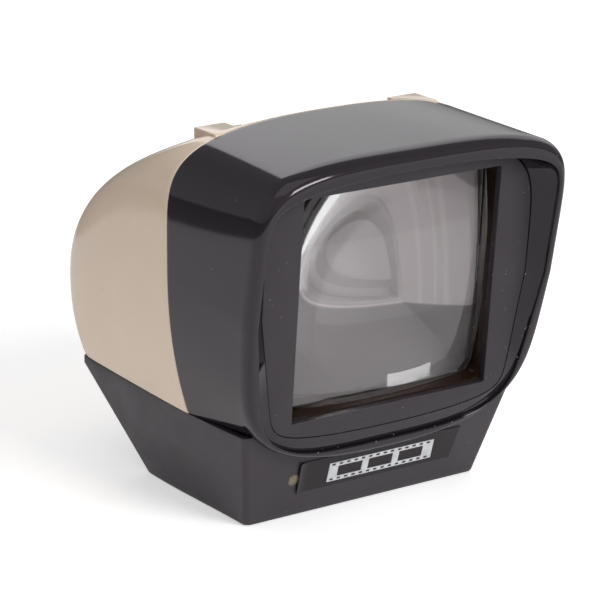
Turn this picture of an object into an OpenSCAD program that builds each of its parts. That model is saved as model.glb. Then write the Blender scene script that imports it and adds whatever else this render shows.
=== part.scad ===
// Battery-lit viewer for 50 x 50 mm slides, millimetres.
// Origin: centre of the base's bottom face. +X right seen from the lens, -Y towards the viewer, +Z up.
// Shells are lofts through outlines given by formula; every round working feature is exact.

/* [Base] */
// half width of the base where it stands
base_foot_hw = 36.2; // [34:0.1:38]
// half depth of the base where it stands
base_foot_hd = 23.8; // [22:0.1:26]
// height of the base
base_h = 27; // [26.5:0.1:27]
// half width of the base's top edge at the front
base_front_hw = 42.2; // [41:0.1:43]
// how far forward the base's top edge reaches
base_front_y = -32.2; // [-33:0.1:-31]
// how far back the base's top edge reaches
base_rear_y = 48.7; // [47:0.1:50]
// wall of the base and of both shells
wall = 2; // [1.8:0.1:2.2]

/* [Hood and cover] */
// plane where hood and rear cover meet
seam_y = -8; // [-8.5:0.1:-7.5]
// height of the crest over the base's bottom
crest_z = 100.6; // [99:0.1:102]
// greatest half width of the shells
shell_hw = 48.9; // [48:0.1:50]
// depth of the rear cover behind the seam
cover_depth = 58.2; // [56:0.1:60]
// forward lean of the hood's rim
rim_tilt = 11.3; // [10:0.1:13]
// forward lean of the mask
mask_tilt = 5.2; // [4:0.1:6]
// half width of the hood's rim
rim_hw = 47.1; // [46:0.1:48]
// width of the viewing window
window_w = 60; // [58:0.1:60.6]
// height of the viewing window
window_h = 58.9; // [57:0.1:59]

/* [Slide path] */
// edge of a square slide mount
slide_size = 50; // [49.8:0.1:50]
// clear width between the guide tabs
slot_w = 50.4; // [50.3:0.1:50.8]
// film aperture, square
gate = 37; // [36:0.5:38]
// height of the film aperture's centre
gate_z = 68; // [67.5:0.1:68.5]
// travel of a pressed slide
slide_stroke = 8; // [7:0.5:8]
// top of the guide tabs
tab_z = 98.1; // [97.5:0.1:98.5]

/* [Light] */
// radius of the lens faces
lens_r = 125; // [120:1:140]
// thickness of the lens on its axis
lens_t = 17; // [16:0.1:17]
// height of the lamp's axis
lamp_z = 66; // [65:0.5:67]
// rim radius of the reflector
bowl_r = 20.5; // [18:0.5:20.5]

/* [Power] */
// radius of a cell
cell_r = 7.15; // [7:0.05:7.2]
// half the distance between the cell axes
cell_y = 7.4; // [7.3:0.1:7.6]

/* [Hidden] */
mask_y = -38.3;
mask_z = 58.7;
rim_off = 3.67;
mask_back = 0.4;
slot_hw = slot_w / 2;
// shoulder height of the shells, where the crest's curve begins
shoulder_z = 64;
// slot for the slide, front and rear walls
slot_y0 = -2;
slot_y1 = 2.1;
// inner edge of the ribs that hold the slide's side borders
rib_x = 22.9;
// outer side of the slide guide, its foot and its top
guide_hw = 28;
guide_y0 = -4;
guide_foot_z = 36;
guide_top_z = 91.5;
// half width and underside of the finger well's floor
well_hw = 12;
well_floor_z = 88.6;
// the slide stands here until it is pressed down by the stroke
rest_top = gate_z - slide_size / 2 + slide_stroke;
rest_bar = 4;
stem_x = 18;
stem_r = 1.5;
stem_play = 0.06;
spring_r = 2.25;
spring_wire = 0.3;
collar_top = 30.5;
// chassis plate on the base's top edge
deck_z = 27.05;
deck_t = 1.95;
deck_top = deck_z + deck_t;
// case screws
screw_x = 33.2;
screw_front_y = -15;
screw_rear_y = 17;
screw_top = 36;
cell_z = 9.5;
// switch pivot, length of the lever's arm and its upward slope at rest
pivot_y = 14;
pivot_z = 33;
lever_len = 14.5;
lever_rise = 25.5;
$fn = 64;

black = [0.05, 0.05, 0.06];
beige = [0.78, 0.71, 0.63];
brass = [0.76, 0.62, 0.32];
steel = [0.70, 0.71, 0.73];

// ---------- outlines ----------

function mirrored(q) = [for (i = [len(q) - 2 : -1 : 1]) [-q[i][0], q[i][1]]];

// Quarter of |x|^p + |y|^q = 1 from (1, 0) to (0, 1), points gathered at the corner.
function quarter(p, q, m = 8, split = 0.86) =
    let (xs = pow(1 - pow(split, q), 1 / p))
    concat([for (j = [0 : m - 1]) let (w = split * sin(90 * j / m)) [pow(1 - pow(w, q), 1 / p), w]],
           [for (j = [0 : m]) let (u = xs * cos(90 * j / m)) [u, pow(1 - pow(u, p), 1 / q)]]);

// Closed outline: upper and lower halves with their own exponents, symmetric about x = 0.
function closed(up, low) =
    let (right = concat([for (i = [len(low) - 1 : -1 : 1]) [low[i][0], -low[i][1]]], up))
    concat(right, mirrored(right));

// Point at x and height v in a plane leaning forward by tilt, off in front of the mask's centre.
function lean(x, v, off, tilt) =
    [x, mask_y - off * cos(tilt) - v * sin(tilt), mask_z - off * sin(tilt) + v * cos(tilt)];

// Screen-shaped loop of the rim.
function rim_loop(inset, off) =
    [for (p = closed(quarter(3.5, 8), quarter(2.6, 5)))
        let (v = p[1] * (p[1] > 0 ? 40.4 : 42.8) * (1 - inset / 41))
        lean(p[0] * (rim_hw - inset) * (v < 0 ? 1 + 0.00195 * v : 1), v, off, rim_tilt)];

// Loop of the mask's visible border, as flat points in the mask's plane.
function border(inset) =
    [for (p = closed(quarter(4, 6), quarter(3, 6)))
        let (v = p[1] * (p[1] > 0 ? 36 : 35) * (1 - inset / 35.5))
        [p[0] * (40.2 - inset) * (v < 0 ? 1 + 0.0025 * v : 1), v]];

// Half width of the shells at the seam, by height.
function seam_hw(z) =
    z <= shoulder_z ? shell_hw - 0.0041 * pow(shoulder_z - z, 2)
                    : shell_hw * pow(max(0, 1 - pow((z - shoulder_z) / (crest_z - shoulder_z), 6)), 1 / 2.45);

// Seam loop with its bottom carried below the base's top edge.
function seam_loop(inset, y) =
    [for (p = closed(quarter(2.45, 6), quarter(8, 8)))
        let (z = shoulder_z + p[1] * (p[1] > 0 ? crest_z - shoulder_z - inset : 52))
        [p[0] * ((p[1] > 0 ? shell_hw : seam_hw(z)) - inset), y, z]];

function mix3(a, b, s) = [for (i = [0 : len(a) - 1]) a[i] * (1 - s) + b[i] * s];

// Depth of the cover behind the seam, by height.
function cover_b(z) =
    z <= 52 ? 56.7 + (cover_depth - 56.7) * (1 - pow((52 - z) / 25, 2))
            : cover_depth * pow(max(0, 1 - pow((z - 52) / (crest_z - 52), 2.6)), 1.27);

// Half ring of the cover at height z, drawn at height zo, from one side of the seam to the other.
function cover_ring(z, inset, zo, y0) =
    let (n = 4.6 + 35.4 * exp(-(z - 27) / 18),
         taper = 0.025 + 0.03 * exp(-(z - 27) / 10),
         a = max(0.02, seam_hw(z) - inset),
         b = max(0.02, cover_b(z) - inset),
         q = quarter(n, n, 9, 0.93),
         side = [for (p = q) [p[0] * a * (1 - taper * pow(p[1], 1.5)), seam_y + p[1] * b, zo]])
    concat([[side[0][0], y0, zo]], side,
           [for (i = [len(side) - 2 : -1 : 0]) [-side[i][0], side[i][1], zo]],
           [[-side[0][0], y0, zo]]);

// Rounded ring of the base, wider in the middle than at the ends.
function base_ring(hwf, hwm, hwr, yf, yr, z, r = 1.8) =
    let (side = concat([for (a = [-90 : 18 : 0]) [hwf - r + r * cos(a), yf + r + r * sin(a)]],
                       [[hwm, -6], [hwm * 0.4 + hwr * 0.6 + 0.25, yr * 0.6]],
                       [for (a = [0 : 18 : 90]) [hwr - r + r * cos(a), yr - r + r * sin(a)]]))
    concat([for (p = side) [p[0], p[1], z]],
           [for (i = [len(side) - 1 : -1 : 0]) [-side[i][0], side[i][1], z]]);

function frac(a, b, s) = a + (b - a) * s;

// Base outline at height z, set in by a wall.
function base_at(z, inset) =
    let (s = z / base_h, t = min(1, z / (base_h - 2)))
    base_ring(frac(base_foot_hw, base_front_hw, s) - inset,
              frac(base_foot_hw + 0.1, 43.1, s) - inset,
              frac(base_foot_hw, 41, t) - inset,
              frac(-base_foot_hd, base_front_y, s) + inset,
              frac(base_foot_hd, base_rear_y, t) - inset, z);

// ---------- helpers ----------

// Solid through a stack of rings with equal counts, each counter-clockwise seen from the last one.
module loft(rings) {
    n = len(rings[0]);
    m = len(rings);
    pts = [for (r = rings) each r];
    sides = [for (k = [0 : m - 2]) for (i = [0 : n - 1])
        let (j = (i + 1) % n, a = k * n + i, b = k * n + j, c = a + n, d = b + n)
        each [[a, c, b], [b, c, d]]];
    bottom = [[for (i = [0 : n - 1]) i]];
    top = [[for (i = [n - 1 : -1 : 0]) (m - 1) * n + i]];
    polyhedron(points = pts, faces = concat(bottom, sides, top), convexity = 6);
}

module box(lo, hi) {
    translate(lo)
        cube([hi[0] - lo[0], hi[1] - lo[1], hi[2] - lo[2]]);
}

module both_sides() {
    children();
    mirror([1, 0, 0]) children();
}

// Rod along Y from y0 to y1 at height z.
module rod_y(r, y0, y1, z, x = 0) {
    translate([x, y0, z])
        rotate([-90, 0, 0])
            cylinder(r = r, h = y1 - y0);
}

// Rod along X, centred on x = 0.
module rod_x(r, half, y, z) {
    translate([-half, y, z])
        rotate([0, 90, 0])
            cylinder(r = r, h = 2 * half);
}

// The mask's own frame: x across, -y forward out of the mask, z up in its plane.
module in_mask() {
    translate([0, mask_y, mask_z])
        rotate([mask_tilt, 0, 0])
            children();
}

// Plate with a flat outline in the mask's frame, from depth y0 to y1.
module mask_slab(outline, y0, y1) {
    translate([0, y1, 0])
        rotate([90, 0, 0])
            linear_extrude(y1 - y0)
                polygon(outline);
}

function rounded(hw, lo, hi, r) =
    [for (c = [[hw - r, hi - r, 0], [r - hw, hi - r, 90], [r - hw, lo + r, 180], [hw - r, lo + r, 270]])
        for (a = [0 : 15 : 90]) [c[0] + r * cos(c[2] + a), c[1] + r * sin(c[2] + a)]];

function unit(v) = v / norm(v);
function path_dir(p, i) = unit(p[min(i + 1, len(p) - 1)] - p[max(i - 1, 0)]);

// Round wire of radius r through a path.
module wire(path, r, sides = 8) {
    loft([for (i = [0 : len(path) - 1])
        let (d = path_dir(path, i), u = unit(cross(d, [0.3, 0.1, 1])), w = cross(d, u))
        [for (k = [0 : sides - 1]) path[i] + r * (u * cos(360 * k / sides) + w * sin(360 * k / sides))]]);
}

// Cubic curve through four control points.
function bez(a, b, c, d, n = 10) =
    [for (i = [0 : n]) let (t = i / n, s = 1 - t)
        a * s * s * s + b * 3 * s * s * t + c * 3 * s * t * t + d * t * t * t];

// ---------- case ----------

module screw_bores(r, z0, z1) {
    both_sides()
        for (y = [screw_front_y, screw_rear_y])
            translate([screw_x, y, z0]) cylinder(r = r, h = z1 - z0);
}

module door_channel() {
    box([-27.3, -15.9, -1], [27.3, 40, 1.3]);
    box([-29.3, -15.9, 1.1], [29.3, 40, 2.45]);
    box([-27, -15.4, 2], [27, 15.4, 4]);
}

module base() {
    color(black)
    difference() {
        union() {
            difference() {
                loft([base_at(0, 0), base_at(base_h - 2, 0), base_at(base_h, 0)]);
                loft([base_at(3, wall), base_at(base_h - 2, wall), base_at(base_h + 0.2, wall)]);
            }
            intersection() {
                loft([base_at(0.5, 0.5), base_at(base_h - 0.2, 0.5)]);
                union() {
                    screw_bores(3, 0.5, base_h);
                    both_sides() translate([34.5, 2, 1]) cylinder(r = 2.5, h = base_h - 1);
                }
            }
        }
        screw_bores(1.4, -1, base_h + 1);
        screw_bores(2.35, -1, 2.25);
        door_channel();
    }
}

module hood_outer() {
    r = rim_loop(0, rim_off - 1.7);
    s = seam_loop(0, seam_y);
    loft([s, mix3(r, s, 0.75), mix3(r, s, 0.5), mix3(r, s, 0.25), r,
          rim_loop(0.1, rim_off - 1.1), rim_loop(0.45, rim_off - 0.45), rim_loop(1.3, rim_off)]);
}

module hood_inner() {
    r = rim_loop(2.3, rim_off - 1);
    s = seam_loop(wall, seam_y + 0.3);
    intersection() {
        loft([s, r]);
        in_mask() box([-60, 4.4, -60], [60, 60, 60]);
        box([-60, -60, 28.7], [60, 0, 120]);
    }
}

module base_clearance() {
    front = function (z) frac(-base_foot_hd, base_front_y, z / base_h) - 0.3;
    translate([60, 0, 0])
        rotate([90, 0, -90])
            linear_extrude(120)
                polygon([[-front(-5), -5], [-front(27.6), 27.6], [-seam_y, 27.1], [-seam_y - 9, 27.1],
                         [-seam_y - 9, -5]]);
}

// Recess in front of the mask, and the seat the mask lies in.
module hood_front_recess() {
    seat = [for (p = border(0)) lean(p[0], p[1], -2.45, mask_tilt)];
    foot = [for (p = border(0)) lean(p[0], p[1], -mask_back, mask_tilt)];
    loft([seat, foot, rim_loop(3, rim_off - 0.9), rim_loop(2.4, rim_off - 0.25),
          rim_loop(2.3, rim_off + 0.2)]);
}

module hood() {
    color(black)
    difference() {
        union() {
            difference() {
                hood_outer();
                hood_inner();
            }
            both_sides() translate([screw_x, screw_front_y, 28]) cylinder(r = 2.8, h = 9);
        }
        hood_front_recess();
        in_mask() mask_slab(rounded(35.5, -30.3, 32, 6), 2, 5);
        base_clearance();
        screw_bores(1.38, 20, screw_top + 0.6);
    }
}

function cover_levels() = [27, 30, 34, 39, 45, 52, 58, 64, 70, 75, 79.5, 83.5, 87, 90, 92.5, 94.6, 96.3,
                           97.7, 98.8, 99.6, 100.2];

module cover_outer() {
    loft([for (z = cover_levels()) cover_ring(z, 0, z + 0.05, seam_y)]);
}

module cover_inner() {
    loft([for (z = cover_levels())
        cover_ring(z, wall, z < 28 ? z - 1 : z - wall * (z - 27) / 73, seam_y - 1)]);
}

module finger_well() {
    translate([0, 1.5, 91]) cylinder(r = 9, h = 20);
}

module rear_cover() {
    color(beige)
    difference() {
        union() {
            difference() {
                cover_outer();
                cover_inner();
            }
            intersection() {
                cover_outer();
                union() {
                    box([-29, seam_y, guide_top_z + 0.2], [29, 5.2, 110]);
                    box([-well_hw, seam_y, well_floor_z], [well_hw, 12, 110]);
                }
            }
            both_sides() {
                box([slot_hw, seam_y, 92.5], [34.4, slot_y1, tab_z]);
                box([rib_x, seam_y, 92.5], [slot_hw + 0.5, slot_y0, tab_z]);
                translate([screw_x, screw_rear_y, deck_top]) cylinder(r = 2.8, h = 8);
                box([screw_x, screw_rear_y - 1, deck_top], [42.2, screw_rear_y + 1, deck_top + 8]);
            }
        }
        box([-slot_hw, slot_y0, 80], [slot_hw, slot_y1, 120]);
        finger_well();
        screw_bores(1.38, 20, screw_top + 0.6);
    }
}

module chassis() {
    color(black)
    difference() {
        union() {
            translate([0, 0, deck_z])
                linear_extrude(deck_t)
                    polygon([[-38, -7.4], [38, -7.4], [40, -5.4], [38.6, 40], [35, 44], [-35, 44],
                             [-38.6, 40], [-40, -5.4]]);
            both_sides() translate([stem_x, 0, deck_z]) cylinder(r = 3, h = collar_top - deck_z);
        }
        both_sides() translate([stem_x, 0, 20]) cylinder(r = stem_r + stem_play, h = 20);
        screw_bores(1.45, 20, 40);
        translate([32, 6, 20]) cylinder(r = 2.2, h = 20);
        translate([9, 17.5, 20]) cylinder(r = 2, h = 20);
    }
}

module case_screw(x, y) {
    color(steel)
    translate([x, y, 0])
        difference() {
            union() {
                translate([0, 0, 0.6]) cylinder(r = 2.2, h = 1.6);
                translate([0, 0, 1]) cylinder(r = 1.3, h = screw_top - 1);
            }
            box([-0.3, -3, 0], [0.3, 3, 1.3]);
        }
}

module screw_front_right() { case_screw(screw_x, screw_front_y); }
module screw_front_left() { case_screw(-screw_x, screw_front_y); }
module screw_rear_right() { case_screw(screw_x, screw_rear_y); }
module screw_rear_left() { case_screw(-screw_x, screw_rear_y); }

// Label lying on the base's sloping front face.
module on_front(x0, x1, s0, s1, up, thick) {
    slope = atan((-base_foot_hd - base_front_y) / base_h);
    translate([0, -base_foot_hd, 0])
        rotate([slope, 0, 0])
            box([x0, -up - thick, s0], [x1, -up, s1]);
}

module label_plate() {
    color([0.12, 0.09, 0.11])
    on_front(-23, 27.6, 7.2, 16.6, 0.02, 0.2);
}

// Plain strip of frames, a stand-in for the maker's word.
module label_motif() {
    color([0.85, 0.86, 0.88])
    difference() {
        on_front(-13.5, 19.5, 8.6, 14.4, 0.22, 0.12);
        for (i = [0 : 2]) on_front(-10.6 + 9.6 * i, -3 + 9.6 * i, 9.9, 13.1, 0, 1);
        for (i = [0 : 13]) {
            on_front(-12.7 + 2.3 * i, -11.6 + 2.3 * i, 8.9, 9.5, 0, 1);
            on_front(-12.7 + 2.3 * i, -11.6 + 2.3 * i, 13.5, 14.1, 0, 1);
        }
    }
}

// ---------- optics ----------

module mask() {
    color(black)
    in_mask()
        difference() {
            mask_slab(border(0.15), mask_back, 2.4);
            box([-window_w / 2, -5, -window_h / 2], [window_w / 2, 5, window_h / 2]);
        }
}

module lens() {
    color([0.80, 0.84, 0.88, 0.5])
    in_mask()
        intersection() {
            mask_slab(rounded(31, -28.9, 28.9, 3), 0, 20);
            translate([0, 0.9 + lens_r, 0]) sphere(r = lens_r, $fn = 360);
            translate([0, 0.9 + lens_t - lens_r, 0]) sphere(r = lens_r, $fn = 360);
        }
}

module lens_cell() {
    color(black)
    in_mask()
        difference() {
            mask_slab(rounded(32.3, -30.1, 30.3, 3.6), 2.42, 16);
            mask_slab(rounded(31.1, -29, 29, 3), 4.5, 17);
            mask_slab(rounded(30.3, -29, 29, 2.4), 1, 6);
        }
}

// Four corners of a rectangle in the mask's frame.
function tunnel_front(hw, hv, y) = [for (s = [[1, -1], [1, 1], [-1, 1], [-1, -1]])
    lean(s[0] * hw, s[1] * hv, -y, mask_tilt)];
function tunnel_rear(h, y) = [for (s = [[1, -1], [1, 1], [-1, 1], [-1, -1]])
    [s[0] * h, y, gate_z + s[1] * h]];

module light_tunnel() {
    color([0.07, 0.06, 0.06])
    difference() {
        loft([tunnel_rear(20.4, guide_y0 - 0.1), tunnel_front(31, 28.8, 16.1)]);
        loft([tunnel_rear(19.2, guide_y0), tunnel_front(29.9, 27.7, 16)]);
    }
}

// ---------- slide path ----------

// Front plate with the film aperture, side walls, and pockets that hold the diffuser.
module slide_guide() {
    spring_gap = spring_r + spring_wire + 0.25;
    color(beige)
    difference() {
        union() {
            box([-guide_hw, guide_y0, guide_foot_z], [guide_hw, slot_y0, guide_top_z]);
            both_sides() {
                box([slot_hw, guide_y0, deck_top], [guide_hw, 3.4, guide_top_z]);
                box([rib_x, slot_y1, 42], [guide_hw, 3.4, guide_top_z]);
                box([24.7, 3.3, 42], [guide_hw, 6.3, 88.3]);
                box([rib_x, 5.1, 42], [guide_hw, 6.3, 88.3]);
                box([rib_x, 3.3, 42], [guide_hw, 6.3, 43.4]);
            }
        }
        box([-gate / 2, -5, gate_z - gate / 2], [gate / 2, -1, gate_z + gate / 2]);
        box([-well_hw - 0.1, -5, well_floor_z - 0.1], [well_hw + 0.1, 7, 120]);
        both_sides()
            box([stem_x - spring_gap, -5, guide_foot_z - 1],
                [stem_x + spring_gap, -1, rest_top - rest_bar + 0.4]);
    }
}

// Bowed strip that presses the slide against the guide's front plate.
module leaf_spring(x) {
    bow = 60;
    color(brass)
    difference() {
        intersection() {
            translate([x - 0.8, 0.9 + bow, gate_z]) rotate([0, 90, 0]) cylinder(r = bow, h = 1.6, $fn = 200);
            box([x - 1, 0, gate_z - 11], [x + 1, 1.95, gate_z + 11]);
        }
        translate([x - 2, 1.15 + bow, gate_z]) rotate([0, 90, 0]) cylinder(r = bow, h = 4, $fn = 200);
    }
}

module leaf_spring_left() { leaf_spring(-24); }
module leaf_spring_right() { leaf_spring(24); }

module slide_rest() {
    color([0.10, 0.10, 0.11])
    union() {
        box([-24.9, -1.7, rest_top - rest_bar], [24.9, 1.7, rest_top]);
        box([-2.5, -1.7, rest_top - 10.9], [2.5, 1.7, rest_top - 3]);
        both_sides() translate([stem_x, 0, 24]) cylinder(r = stem_r, h = rest_top - 26);
    }
}

// Open coil around a stem, between collar and slide rest.
module return_spring(x) {
    turns = 6;
    z0 = collar_top + 0.35;
    z1 = rest_top - rest_bar - 0.35;
    color(steel)
    translate([x, 0, 0])
        wire([for (i = [0 : 16 * turns]) let (a = 360 * i / 16)
            [spring_r * cos(a), spring_r * sin(a), z0 + (z1 - z0) * i / (16 * turns)]], spring_wire, 6);
}

module return_spring_left() { return_spring(-stem_x); }
module return_spring_right() { return_spring(stem_x); }

module diffuser() {
    color([0.95, 0.95, 0.93])
    box([-24.5, 3.5, 43.6], [24.5, 5, 87.6]);
}

// ---------- switch ----------

module switch_lever() {
    tip = [pivot_y - lever_len * cos(lever_rise), pivot_z + lever_len * sin(lever_rise)];
    color(brass)
    difference() {
        union() {
            rod_x(2.2, 3.2, pivot_y, pivot_z);
            translate([0, pivot_y, pivot_z])
                rotate([-lever_rise, 0, 0])
                    box([-2.4, -lever_len, -0.4], [2.4, -1.5, 0.4]);
            rod_x(0.5, 2.4, tip[0], tip[1]);
            box([-2, pivot_y + 1.5, pivot_z - 0.4], [2, pivot_y + 9, pivot_z + 0.4]);
            rod_x(0.4, 2, pivot_y + 9, pivot_z);
        }
        rod_x(1.06, 5, pivot_y, pivot_z);
    }
}

module lever_pin() {
    color(steel)
    rod_x(1, 5.4, pivot_y, pivot_z);
}

module lever_bracket() {
    color(steel)
    difference() {
        union() {
            box([-4.8, 11.2, deck_top + 0.01], [4.8, 15.4, deck_top + 0.6]);
            both_sides() box([4, 11.2, deck_top + 0.01], [4.8, 15.4, 35.6]);
        }
        rod_x(1.03, 8, pivot_y, pivot_z);
    }
}

// Two turns on the pin that hold the lever up against the slide rest.
module lever_spring() {
    color(steel)
    for (x = [3.4, 3.72])
        translate([x, pivot_y, pivot_z])
            rotate([0, 90, 0])
                rotate_extrude() translate([1.4, 0]) circle(r = 0.16, $fn = 16);
}

module contact_post() {
    color([0.35, 0.22, 0.12])
    box([-3, 24.6, deck_top + 0.01], [3, 28, 38.55]);
}

module fixed_contact() {
    color(brass)
    union() {
        box([-2, 18.5, 38.6], [2, 27.6, 39.1]);
        rod_x(0.35, 1.6, 21.3, 38.55);
    }
}

// ---------- lamp ----------

// Bowl around the lamp: radius grows forward along a parabola.
module reflector() {
    bowl = function (r) 9 + 16 * (bowl_r * bowl_r - r * r) / (bowl_r * bowl_r - 31.4);
    rs = [for (i = [0 : 12]) 5.6 + (bowl_r - 5.6) * i / 12];
    color([0.92, 0.92, 0.90])
    translate([0, 0, lamp_z])
        rotate([-90, 0, 0])
            union() {
                rotate_extrude()
                    polygon(concat([for (r = rs) [r, bowl(r)]],
                                   [for (i = [12 : -1 : 0]) [rs[i] + 0.6, bowl(rs[i]) + 0.8]]));
                difference() {
                    translate([0, 0, 24.8]) cylinder(r = 6.5, h = 5.4);
                    translate([0, 0, 20]) cylinder(r = 5.4, h = 20);
                }
            }
}

module lamp_glass() {
    color([0.9, 0.9, 0.95, 0.4])
    difference() {
        union() {
            translate([0, 17.5, lamp_z]) sphere(r = 5.5);
            rod_y(4, 17.5, 25.9, lamp_z);
        }
        translate([0, 17.5, lamp_z]) sphere(r = 5);
        rod_y(3.5, 17.5, 24.9, lamp_z);
    }
}

module lamp_filament() {
    color(steel)
    union() {
        rod_x(0.14, 1.7, 16.5, lamp_z);
        rod_y(0.16, 16.4, 24.2, lamp_z, -1.6);
        rod_y(0.16, 16.4, 24.2, lamp_z, 1.6);
        rod_y(2.2, 22.4, 24.85, lamp_z);
    }
}

module lamp_cap() {
    color(brass)
    difference() {
        union() {
            rod_y(4.6, 25.2, 34, lamp_z);
            for (i = [0 : 3]) rod_y(4.75, 27 + 1.8 * i, 27.9 + 1.8 * i, lamp_z);
            rod_y(3.2, 33.9, 35.2, lamp_z);
            rod_y(1.5, 35, 37.1, lamp_z);
        }
        rod_y(4.1, 20, 26, lamp_z);
    }
}

module lamp_socket() {
    color(brass)
    difference() {
        union() {
            rod_y(5.3, 26.5, 35.5, lamp_z);
            rod_y(6.8, 35, 35.55, lamp_z);
        }
        rod_y(4.85, 20, 34.4, lamp_z);
        rod_y(3.4, 20, 40, lamp_z);
    }
}

module lamp_bracket() {
    color(steel)
    difference() {
        union() {
            box([-7, 35.6, deck_top + 0.01], [7, 36.4, 73]);
            box([-7, 29.5, deck_top + 0.01], [7, 36, deck_top + 0.8]);
        }
        rod_y(2.6, 30, 40, lamp_z);
    }
}

module insulator() {
    color([0.35, 0.22, 0.12])
    difference() {
        rod_y(5, 36.42, 37.1, lamp_z);
        rod_y(1.7, 30, 40, lamp_z);
    }
}

module tip_contact() {
    color(brass)
    box([-2.5, 37.14, 54], [2.5, 37.5, 69]);
}

// ---------- power ----------

module battery_box() {
    color(black)
    difference() {
        union() {
            box([-28.6, -17, 3.02], [28.6, 17, 20]);
        }
        box([-27, -15.4, 2], [27, 15.4, 18.6]);
        both_sides() translate([stem_x, 0, 10]) cylinder(r = 2.2, h = 20);
        box([26, -9.6, 17.5], [27.7, -5.2, 30]);
        box([26, 5.2, 17.5], [27.7, 9.6, 30]);
    }
}

// One cell, flat end at x0, raised end towards dir.
module cell(y, dir) {
    color([0.16, 0.30, 0.22])
    translate([0, y, cell_z])
        mirror([dir < 0 ? 1 : 0, 0, 0])
            translate([-24, 0, 0])
                rotate([0, 90, 0])
                    rotate_extrude()
                        polygon([[0, 0], [6.4, 0], [cell_r, 0.7], [cell_r, 48.3], [6.4, 49], [2.7, 49],
                                 [2.7, 50.4], [0, 50.4]]);
}

module cell_a() { cell(-cell_y, 1); }
module cell_b() { cell(cell_y, -1); }

// Flat coil that presses on a cell's flat end.
module cell_spring(y, dir) {
    turns = 2;
    translate([0, y, cell_z])
        mirror([dir < 0 ? 1 : 0, 0, 0])
            wire([for (i = [0 : 16 * turns]) let (a = 360 * i / 16)
                [-26.3 + 2 * i / (16 * turns), (4.6 - i / 16) * cos(a), (4.6 - i / 16) * sin(a)]], 0.25, 6);
}

module link_contact() {
    color(steel)
    union() {
        box([-26.95, -13, 4], [-26.5, 13, 15]);
        cell_spring(-cell_y, 1);
    }
}

module positive_contact() {
    color(steel)
    union() {
        box([26.5, -10.5, 5], [26.95, -4.3, 15]);
        box([26.5, -9, 14], [26.95, -6, 22]);
    }
}

module negative_contact() {
    color(steel)
    union() {
        box([26.5, 3.5, 4], [26.95, 12, 15]);
        box([26.5, 6, 14], [26.95, 9, 22]);
        cell_spring(cell_y, -1);
    }
}

module battery_door() {
    color(black)
    difference() {
        union() {
            box([-27.1, -15.6, 0.25], [27.1, 23.6, 1.6]);
            box([-29.1, -15.6, 1.4], [29.1, 23.6, 2.25]);
        }
        for (i = [0 : 5]) box([-12, 12 + 1.6 * i, 0], [12, 12.8 + 1.6 * i, 0.7]);
    }
}

module lead_supply() {
    color([0.60, 0.10, 0.08])
    wire(concat(bez([27.7, -7.5, 21.4], [28.6, -6, 26.4], [32, 5, 20.4], [32, 6, 26]),
                bez([32, 6, 26.6], [32, 7, 37], [20, 30, 34], [7.7, 36, 40])), 0.55);
}

module lead_return() {
    color([0.08, 0.08, 0.09])
    wire(concat(bez([27.8, 8.5, 21.4], [27.8, 11.5, 27.4], [9, 19, 20], [9, 17.5, 26]),
                bez([9, 17.5, 26.6], [9, 17.5, 33], [7, 14, 35], [5.4, 12.4, 34.6])), 0.55);
}

module lead_lamp() {
    color([0.12, 0.20, 0.45])
    wire(bez([3.2, 26, 39.7], [12, 28, 43], [11, 43, 44], [3.1, 38.1, 56], 16), 0.5);
}

// ---------- nodes ----------

base();
hood();
rear_cover();
chassis();
screw_front_right();
screw_front_left();
screw_rear_right();
screw_rear_left();
label_plate();
label_motif();
mask();
lens();
lens_cell();
light_tunnel();
slide_guide();
leaf_spring_left();
leaf_spring_right();
slide_rest();
return_spring_left();
return_spring_right();
diffuser();
switch_lever();
lever_pin();
lever_bracket();
lever_spring();
contact_post();
fixed_contact();
reflector();
lamp_glass();
lamp_filament();
lamp_cap();
lamp_socket();
lamp_bracket();
insulator();
tip_contact();
battery_box();
cell_a();
cell_b();
link_contact();
positive_contact();
negative_contact();
battery_door();
lead_supply();
lead_return();
lead_lamp();
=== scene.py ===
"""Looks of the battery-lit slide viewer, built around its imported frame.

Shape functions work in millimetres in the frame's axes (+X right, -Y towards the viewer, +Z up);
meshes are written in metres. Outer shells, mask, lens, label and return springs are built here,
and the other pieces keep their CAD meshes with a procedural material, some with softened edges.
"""

import math

import bmesh
import bpy
import numpy as np
from mathutils import Matrix, Vector


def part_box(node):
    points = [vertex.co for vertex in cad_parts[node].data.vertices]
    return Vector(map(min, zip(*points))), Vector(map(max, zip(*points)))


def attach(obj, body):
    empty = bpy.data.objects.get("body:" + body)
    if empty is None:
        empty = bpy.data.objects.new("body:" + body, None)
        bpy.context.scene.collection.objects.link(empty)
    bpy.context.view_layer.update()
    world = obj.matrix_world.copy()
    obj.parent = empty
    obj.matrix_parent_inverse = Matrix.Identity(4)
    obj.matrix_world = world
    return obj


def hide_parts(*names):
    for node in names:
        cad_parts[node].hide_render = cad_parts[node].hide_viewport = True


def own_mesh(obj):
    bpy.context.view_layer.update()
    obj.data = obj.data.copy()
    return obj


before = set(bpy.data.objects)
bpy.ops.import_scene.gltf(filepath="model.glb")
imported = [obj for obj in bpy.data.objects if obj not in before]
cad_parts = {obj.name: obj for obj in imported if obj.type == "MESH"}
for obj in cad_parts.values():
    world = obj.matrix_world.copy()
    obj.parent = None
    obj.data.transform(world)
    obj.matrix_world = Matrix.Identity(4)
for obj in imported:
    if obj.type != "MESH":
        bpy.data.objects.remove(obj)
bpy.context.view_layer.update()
MM = 0.001


def box_mm(node):
    """Lowest and highest corner of a CAD node, in millimetres."""
    lo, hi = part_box(node)
    return np.array(lo) / MM, np.array(hi) / MM


# ---------------------------------------------------------------- dimensions, mm

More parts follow.
